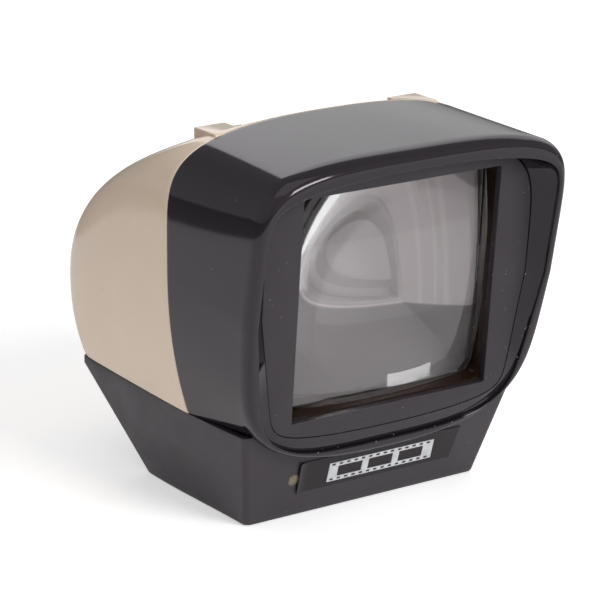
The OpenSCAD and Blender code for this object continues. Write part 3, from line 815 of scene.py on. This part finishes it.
def build_hood():
    """Hood as one closed skin: outside, rounded rim, recess, mask seat and inside."""
    outer_rim = rim_loop(0, RIM_OFF - NOSE)
    seam = seam_loop(0, SEAM_Y)
    inner_rim = rim_loop(2.3, RIM_OFF - 1)
    inner_seam = seam_loop(WALL, SEAM_Y)
    floor_z = BASE_H + 1.7
    loops = [seam_loop(0.25, SEAM_Y), mix(outer_rim, seam_loop(0.05, SEAM_Y), 0.998)]
    loops += [mix(outer_rim, seam, s) for s in (0.992, 0.97)]
    loops += [mix(outer_rim, seam, s) for s in np.linspace(0.92, 0.06, 16)]
    for turn in np.radians(np.linspace(0, 90, 9)):
        inset = NOSE_INSET * (1 - math.cos(turn))
        loops.append(rim_loop(inset, RIM_OFF - NOSE * (1 - math.sin(turn))))
    for turn in np.radians(np.linspace(0, 90, 6)):
        inset = 0.45 * math.sin(turn) - 0.3
        loops.append(lip_loop(inset, RIM_OFF - 0.55 * (1 - math.cos(turn))))
    lip = lip_loop(0.35, RIM_OFF - 1.1)
    foot = in_mask(border_flat(0), MASK_BACK)
    loops += [mix(lip, foot, s) for s in (0.0, 0.12, 0.3, 0.5, 0.7, 0.86, 0.96, 1.0)]
    opening = rect_loop(35.5, 31.15, 6) + (0, 0.85)
    loops.append(in_mask(border_flat(0), MASK_BACK + 2.05))
    loops.append(in_mask(opening, MASK_BACK + 2.05))
    loops.append(in_mask(opening, 4.4))
    for s in (0.3, 0.5, 0.75, 1.0):
        inner = mix(inner_rim, inner_seam, s)
        inner[:, 2] = np.maximum(inner[:, 2], floor_z)
        loops.append(inner)
    hood = skin("hood", loops, wrap=True)
    front = [mix(-BASE_FOOT_HD, BASE_LO[1], z / BASE_H) - 0.3 for z in (-5, BASE_H + 0.6)]
    profile = [
        (front[0], -5),
        (front[1], BASE_H + 0.6),
        (SEAM_Y, BASE_H + 0.1),
        (SEAM_Y + 9, BASE_H + 0.1),
        (SEAM_Y + 9, -5),
    ]
    ends = [np.array([(x, y, z) for y, z in profile]) for x in (-60, 60)]
    cut(hood, skin("tool", ends))
    smooth(hood, 40)
    soften(hood, 0.12, 50)
    place(hood, "hood", hood_black)


# ---------------------------------------------------------------- rear cover


def cover_solid(name, inset, start, edge):
    """Closed solid under the cover's surface; an inset one is the hollow inside it."""
    foot, lift = COVER_FOOT_Z, 0.05
    low = np.linspace(foot, COVER_WAIST_Z, 13)[:-1]
    reach = CREST_Z - 0.02 - COVER_WAIST_Z
    high = COVER_WAIST_Z + reach * np.sin(np.radians(np.linspace(0, 90, 58)))
    loops = []
    for z in np.concatenate([low, high]):
        if inset == 0:
            height = z + lift
        elif z > foot + 1:
            height = z - inset * (z - foot) / 73
        else:
            height = z - 1
        loops.append(cover_ring(z, inset, height, start, edge))
    if edge:
        loops[0] = cover_ring(foot, 0, foot + lift + edge, start, edge)
        rounding = [(edge, 0.0), (edge * 0.3, edge * 0.3)]
        loops[:0] = [cover_ring(foot, back, foot + lift + up, start, edge) for back, up in rounding]
    return skin(name, loops)


def build_cover():
    """Domed shell with the slide slot, the finger well, two guide tabs and their lips."""
    hollow = cover_solid("tool", WALL, SEAM_Y - 1, 0.0)
    cut(hollow, block((-29, -60, 91.7), (29, 5.2, 120)), block((-12, -60, 88.6), (12, 12, 120)))
    cover = cover_solid("cover", 0.0, SEAM_Y, 0.22)
    cut(cover, hollow)
    tab_front = SEAM_Y + 0.06
    for side in (-1, 1):
        ends = sorted((side * (SLOT_HW - 0.01), side * TAB_HW))
        join(cover, block((ends[0], tab_front, TAB_FOOT_Z), (ends[1], SLOT_Y[1], TAB_Z), 0.35))
        ends = sorted((side * RIB_X, side * (SLOT_HW + 0.5)))
        join(cover, block((ends[0], tab_front, TAB_FOOT_Z), (ends[1], SLOT_Y[0], TAB_Z), 0.25))
        ends = sorted((side * SCREW_X, side * 42.2))
        join(cover, block((ends[0], 16, DECK_TOP), (ends[1], 18, DECK_TOP + 8)))
        join(cover, round_bar(side * SCREW_X, SCREW_Y[1], DECK_TOP, DECK_TOP + 8, 2.8, 48))
        cut(cover, round_bar(side * SCREW_X, SCREW_Y[1], 20, 36.6, 1.38, 32))
    cut(cover, block((-SLOT_HW, SLOT_Y[0], 80), (SLOT_HW, SLOT_Y[1], 120)))
    cut(cover, round_bar(0, WELL_Y, WELL_Z, 111, WELL_R, 128))
    smooth(cover, 38)
    soften(cover, 0.12, 50)
    place(cover, "rear_cover", cover_beige)


# ---------------------------------------------------------------- base


def build_base():
    """Tapered tray with a rounded foot edge, screw bosses and holes, and the door's channel."""
    levels = [(0, 0.5), (0.05, 0.28), (0.18, 0.1), (0.5, 0)]
    outer = [base_at(z, inset) for z, inset in levels]
    outer += [base_at(z, 0) for z in np.linspace(2, BASE_LIP_Z, 12)]
    outer += [base_at(BASE_LIP_Z + 0.5, 0), base_at(BASE_H - 0.2, 0)]
    outer += [base_at(BASE_H - 0.06, 0.06), base_at(BASE_H, 0.2)]
    base = skin("base", outer)
    inner = [base_at(z, WALL) for z in np.linspace(BASE_FLOOR, BASE_H - 0.4, 6)]
    inner += [base_at(BASE_H - 0.1, WALL - 0.05), base_at(BASE_H + 0.3, WALL - 0.4)]
    cut(base, skin("tool", inner))
    for side in (-1, 1):
        for y in SCREW_Y:
            join(base, round_bar(side * SCREW_X, y, 2.5, BASE_H - 0.3, 3.0, 48))
        join(base, round_bar(side * 34.5, 2, 2.5, BASE_H - 0.3, 2.5, 48))
        for y in SCREW_Y:
            cut(base, round_bar(side * SCREW_X, y, -1, BASE_H + 1, 1.4, 32))
            cut(base, round_bar(side * SCREW_X, y, -1, 2.25, 2.35, 48))
    cut(
        base,
        block((-27.3, -15.9, -1), (27.3, 40, 1.3)),
        block((-29.3, -15.9, 1.1), (29.3, 40, 2.45)),
        block((-27, -15.4, 2), (27, 15.4, 4)),
    )
    smooth(base, 30)
    soften(base, 0.12, 50)
    place(base, "base", base_black)


# ---------------------------------------------------------------- mask and lens


def build_mask():
    """Flat screen mask with a sharp square window."""
    back = MASK_BACK + MASK_T
    rounded = 0.22
    loops = [in_mask(border_flat(0.3), back), in_mask(border_flat(0.15), back - 0.15)]
    for turn in np.radians(np.linspace(0, 90, 4)):
        inset = 0.15 + rounded * (1 - math.cos(turn))
        loops.append(in_mask(border_flat(inset), MASK_BACK + rounded * (1 - math.sin(turn))))
    for turn in np.radians(np.linspace(90, 0, 4)):
        grow = rounded * (1 - math.cos(turn))
        window = rect_loop(WINDOW_HW + grow, WINDOW_HH + grow, 0.5 + grow)
        loops.append(in_mask(window, MASK_BACK + rounded * (1 - math.sin(turn))))
    loops.append(in_mask(rect_loop(WINDOW_HW, WINDOW_HH, 0.5), back - 0.1))
    loops.append(in_mask(rect_loop(WINDOW_HW + 0.1, WINDOW_HH + 0.1, 0.6), back))
    mask = skin("mask", loops, wrap=True)
    smooth(mask, 40)
    place(mask, "mask", mask_black)


def build_lens():
    """Thick square lens: two spherical faces, flat sides and rounded corners."""
    outline = rect_loop(LENS_HW, LENS_HH, 3.0)

    def face(k, front):
        flat = outline * k
        sag = LENS_R - np.sqrt(LENS_R**2 - (flat**2).sum(1))
        depth = LENS_APEX + sag if front else LENS_APEX + LENS_T - sag
        y = MASK_Y + depth * math.cos(MASK_TILT) - flat[:, 1] * math.sin(MASK_TILT)
        z = MASK_Z + depth * math.sin(MASK_TILT) + flat[:, 1] * math.cos(MASK_TILT)
        return np.c_[flat[:, 0], y, z]

    reach = np.linspace(0.02, 1 - 0.15 / LENS_HW, 40)
    loops = [face(k, True) for k in reach]
    loops += [mix(face(1, True), face(1, False), s) for s in (0.012, 0.35, 0.7, 0.988)]
    loops += [face(k, False) for k in reach[::-1]]
    lens = skin("lens", loops)
    smooth(lens, 30)
    place(lens, "lens", lens_glass)
    lens.data.materials.append(lens_edge)
    axis = Vector((0, math.cos(MASK_TILT), math.sin(MASK_TILT)))
    for face_of_lens in lens.data.polygons:
        if abs(face_of_lens.normal.dot(axis)) < 0.5:
            face_of_lens.material_index = 1


# ---------------------------------------------------------------- label


def build_label():
    """Thin sheet on the base's sloping front; its left end lifts, its right end is cut aslant."""
    slope = math.atan2(-BASE_FOOT_HD - BASE_LO[1], BASE_H)
    low, high, thick = 7.2, 16.6, 0.2
    columns, rows = 90, 14
    x_left, x_right, slant = LABEL_LO[0], LABEL_HI[0], 1.7
    points = []
    for layer in (0.02, 0.02 + thick):
        for i in range(columns + 1):
            for j in range(rows + 1):
                t = j / rows
                right = x_right - slant * (1 - t)
                x = mix(x_left + 0.4 * (1 - t), right, i / columns)
                s = mix(low, high, t)
                lift = 0.55 * max(0.0, (x_left + 3.2 - x) / 3.2) ** 2
                lift += 0.05 * math.sin(x * 0.9) * math.sin(s * 0.8) ** 2 * t
                up = layer + max(0.0, lift)
                y = -BASE_FOOT_HD - s * math.sin(slope) - up * math.cos(slope)
                z = s * math.cos(slope) - up * math.sin(slope)
                points.append((x, y, z))
    n = (columns + 1) * (rows + 1)
    faces = []
    for i in range(columns):
        for j in range(rows):
            a = i * (rows + 1) + j
            ring = (a, a + 1, a + rows + 2, a + rows + 1)
            faces.append(ring)
            faces.append(tuple(k + n for k in ring[::-1]))
    edge = [i * (rows + 1) for i in range(columns + 1)]
    edge += [columns * (rows + 1) + j for j in range(1, rows + 1)]
    edge += [i * (rows + 1) + rows for i in range(columns - 1, -1, -1)]
    edge += list(range(rows - 1, 0, -1))
    for a, b in zip(edge, edge[1:] + edge[:1]):
        faces.append((a, b, b + n, a + n))
    label = make_object("label", points, faces)
    smooth(label, 40)
    place(label, "label_plate", label_vinyl)


# ---------------------------------------------------------------- springs


def tube(path, radius, sides=14):
    """Round wire through a path, as loops for skin()."""
    path = np.asarray(path, float)
    ahead = np.vstack([path[1:], path[-1:]]) - np.vstack([path[:1], path[:-1]])
    ahead /= np.linalg.norm(ahead, axis=1)[:, None]
    across = np.cross(ahead, (0.3, 0.1, 1.0))
    across /= np.linalg.norm(across, axis=1)[:, None]
    third = np.cross(ahead, across)
    turns = 2 * np.pi * np.arange(sides) / sides
    return [
        p + radius * (np.outer(np.cos(turns), u) + np.outer(np.sin(turns), w))
        for p, u, w in zip(path, across, third)
    ]


def build_return_spring(node):
    """Compression spring with closer end turns."""
    lo, hi = box_mm(node)
    radius = (hi[0] - lo[0]) / 2 - SPRING_WIRE
    centre_x = (lo[0] + hi[0]) / 2
    steps = 28
    count = int(SPRING_TURNS * steps)
    points = []
    for i in range(count + 1):
        t = i / count
        middle = min(1.0, max(0.0, (t - 0.1) / 0.8))
        rise = 0.55 * t + 0.45 * (0.5 - 0.5 * math.cos(math.pi * middle))
        a = 2 * math.pi * i / steps
        z = mix(lo[2] + SPRING_WIRE, hi[2] - SPRING_WIRE, rise)
        points.append((centre_x + radius * math.cos(a), radius * math.sin(a), z))
    spring = skin(node, tube(points, SPRING_WIRE))
    smooth(spring, 50)
    place(spring, node, steel)
    spring.name = node + "_coil"
    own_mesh(spring)


build_hood()
build_cover()
build_base()
build_mask()
build_lens()
build_label()
for spring_node in ("return_spring_left", "return_spring_right"):
    build_return_spring(spring_node)


# ---------------------------------------------------------------- carried-over CAD pieces

FINISHES = {
    inner_black: ("chassis", "battery_box"),
    tunnel_pale: ("light_tunnel",),
    chamber_pale: ("slide_guide", "slide_rest"),
    cell_brown: ("lens_cell",),
    base_black: ("battery_door",),
    steel: (
        "screw_front_right",
        "screw_front_left",
        "screw_rear_right",
        "screw_rear_left",
        "lever_pin",
        "lever_bracket",
        "lever_spring",
        "lamp_filament",
        "lamp_bracket",
        "link_contact",
        "positive_contact",
        "negative_contact",
    ),
    brass: (
        "leaf_spring_left",
        "leaf_spring_right",
        "switch_lever",
        "fixed_contact",
        "lamp_cap",
        "lamp_socket",
        "tip_contact",
    ),
    foil: ("label_motif",),
    opal: ("diffuser",),
    bowl_white: ("reflector",),
    lamp_glass: ("lamp_glass",),
    phenolic: ("contact_post", "insulator"),
    cell_sleeve: ("cell_a", "cell_b"),
    lead_red: ("lead_supply",),
    lead_black: ("lead_return",),
    lead_blue: ("lead_lamp",),
}

# Radius of the softened edges, mm.
EDGE_ROUNDING = {
    "chassis": 0.15,
    "slide_rest": 0.2,
    "battery_box": 0.2,
    "battery_door": 0.2,
    "slide_guide": 0.15,
    "diffuser": 0.15,
    "lever_bracket": 0.08,
    "lamp_bracket": 0.1,
    "switch_lever": 0.08,
    "fixed_contact": 0.06,
    "tip_contact": 0.06,
    "contact_post": 0.2,
    "lens_cell": 0.15,
}

for finish, nodes in FINISHES.items():
    for node in nodes:
        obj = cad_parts[node]
        obj.data.materials.clear()
        obj.data.materials.append(finish)
        if node in EDGE_ROUNDING:
            weld = obj.modifiers.new("weld", "WELD")
            weld.merge_threshold = 1e-6
            soften(obj, EDGE_ROUNDING[node])


# ---------------------------------------------------------------- stage


# Metres, degrees, and radiance in W/m2/sr; azimuth counts from the viewer's side towards +X.
TABLE_R = 0.37
TABLE_GLOW = 0.20
FLOOR_GLOW = 0.45
FLOOR_HALF = 4.0
FLOOR_Z = -0.00015  # just under the base's bottom
ROOM_LEVEL = 0.24
ROOM_LEFT = 0.26
ROOM_FRONT = 0.15
LIGHT_AIM = Vector((0, 0, 0.05))
CAMERA_AIM = Vector((-0.0041765, -0.003326, 0.0477713))
CAMERA_DISTANCE = 0.73847
CAMERA_ANGLES = (-34.60, 17.20, 0.226)  # azimuth, elevation, roll
CAMERA_LENS = 168.38
CAMERA_SENSOR = 36.0


def make_floor():
    """Pale floor. Reflections meet a round shooting table on it and a darker room beyond."""
    corners = ((-1, -1), (1, -1), (1, 1), (-1, 1))
    verts = [(x * FLOOR_HALF, y * FLOOR_HALF, FLOOR_Z) for x, y in corners]
    mesh = bpy.data.meshes.new("floor")
    mesh.from_pydata(verts, [], [(0, 1, 2, 3)])
    floor = bpy.data.objects.new("floor", mesh)
    bpy.context.scene.collection.objects.link(floor)
    material, g = new_material("pale_floor")
    here = g.add("ShaderNodeTexCoord").outputs["Object"]
    away = g.add("ShaderNodeVectorMath", {0: here}, operation="LENGTH").outputs["Value"]
    table = g.remap(away, TABLE_R + 0.012, TABLE_R - 0.012)
    seen = g.add("ShaderNodeLightPath").outputs["Is Camera Ray"]
    pale = g.blend(g.noise(6.0), rgb(0.90, 0.90, 0.90), rgb(0.93, 0.93, 0.93))
    tint = g.blend(g.calc("MAXIMUM", seen, table), rgb(0.22, 0.21, 0.22), pale)
    reflected = g.calc("MULTIPLY", table, TABLE_GLOW)
    reflected = g.calc("MULTIPLY", g.calc("SUBTRACT", 1.0, seen), reflected)
    glow = g.calc("ADD", g.calc("MULTIPLY", seen, FLOOR_GLOW), reflected)
    surface = {
        "Base Color": tint,
        "Roughness": 0.8,
        "Emission Strength": glow,
        "Emission Color": WHITE,
    }
    above = g.add("ShaderNodeBsdfPrincipled", surface)
    below = g.add("ShaderNodeBsdfTransparent")
    under = g.add("ShaderNodeNewGeometry").outputs["Backfacing"]
    both = g.add("ShaderNodeMixShader", {0: under, 1: above.outputs[0], 2: below.outputs[0]})
    g.add("ShaderNodeOutputMaterial", {"Surface": both.outputs[0]})
    mesh.materials.append(material)


def direction(azimuth, elevation):
    """Unit vector from the object towards an azimuth and elevation in degrees."""
    a = math.radians(azimuth)
    e = math.radians(elevation)
    return Vector((math.sin(a) * math.cos(e), -math.cos(a) * math.cos(e), math.sin(e)))


def soft_light(name, azimuth, elevation, distance, width, height, radiance):
    """White softbox facing the object."""
    light = bpy.data.lights.new(name, "AREA")
    light.shape = "RECTANGLE"
    light.size = width
    light.size_y = height
    light.energy = radiance * math.pi * width * height
    obj = bpy.data.objects.new(name, light)
    bpy.context.scene.collection.objects.link(obj)
    away = direction(azimuth, elevation)
    obj.location = LIGHT_AIM + distance * away
    obj.rotation_euler = (-away).to_track_quat("-Z", "Y").to_euler()
    obj.visible_camera = False
    return obj


def fade(light):
    """Makes a softbox brighter towards one side and dimmer towards one edge."""
    light.data.use_nodes = True
    g = Graph(light.data.node_tree)
    across, along, _ = g.split("ShaderNodeNewGeometry", "Parametric")
    sideways = g.remap(across, 0.55, 1.0, 1.0, 2.0)
    edge = g.remap(along, 0.05, 0.50, 0.15, 1.0)
    level = g.calc("MULTIPLY", sideways, edge)
    lamp = g.add("ShaderNodeEmission", {"Color": WHITE, "Strength": level})
    g.add("ShaderNodeOutputLight", {"Surface": lamp.outputs[0]})


def make_world():
    """Dim studio room, a little brighter on the left and in front, and white to the camera."""
    world = bpy.data.worlds.new("studio")
    bpy.context.scene.world = world
    world.use_nodes = True
    g = Graph(world.node_tree)
    ray_x, ray_y, _ = g.split("ShaderNodeTexCoord", "Generated")
    left = g.remap(ray_x, 0.1, -0.95, 0.0, ROOM_LEFT)
    left = g.calc("MULTIPLY", left, g.remap(ray_y, -0.70, 0.0, 0.30, 1.0))
    front = g.remap(ray_y, 0.3, -0.9, 0.0, ROOM_FRONT)
    front = g.calc("MULTIPLY", front, g.remap(ray_x, -0.85, -0.30, 0.15, 1.0))
    level = g.calc("ADD", g.calc("ADD", left, front), ROOM_LEVEL)
    seen = g.add("ShaderNodeLightPath").outputs["Is Camera Ray"]
    strength = g.calc("ADD", g.calc("MULTIPLY", level, g.calc("SUBTRACT", 1.0, seen)), seen)
    light = g.add("ShaderNodeBackground", {"Color": rgb(1, 0.985, 0.99), "Strength": strength})
    g.add("ShaderNodeOutputWorld", {"Surface": light.outputs[0]})


def make_camera():
    """Long lens at the picture's angle: a little above the window and to the left of it."""
    back = direction(CAMERA_ANGLES[0], CAMERA_ANGLES[1])
    roll = math.radians(CAMERA_ANGLES[2])
    right = Vector((0, 0, 1)).cross(back).normalized()
    up = back.cross(right)
    level_right = math.cos(roll) * right + math.sin(roll) * up
    level_up = math.cos(roll) * up - math.sin(roll) * right
    data = bpy.data.cameras.new("camera")
    data.sensor_width = CAMERA_SENSOR
    data.lens = CAMERA_LENS
    data.clip_start = 0.05
    data.clip_end = 20.0
    camera = bpy.data.objects.new("camera", data)
    bpy.context.scene.collection.objects.link(camera)
    turn = Matrix((level_right, level_up, back)).transposed().to_4x4()
    camera.matrix_world = Matrix.Translation(CAMERA_AIM + back * CAMERA_DISTANCE) @ turn
    bpy.context.scene.camera = camera


make_floor()
make_world()
soft_light("key", 12, 30, 1.2, 0.50, 0.50, 12.0)
fade(soft_light("rear_panel", 134, 20, 1.5, 1.56, 1.30, 0.85))
soft_light("top_softbox", -60, 78, 1.2, 0.90, 0.90, 0.6)
make_camera()
bpy.context.scene.view_settings.view_transform = "Standard"
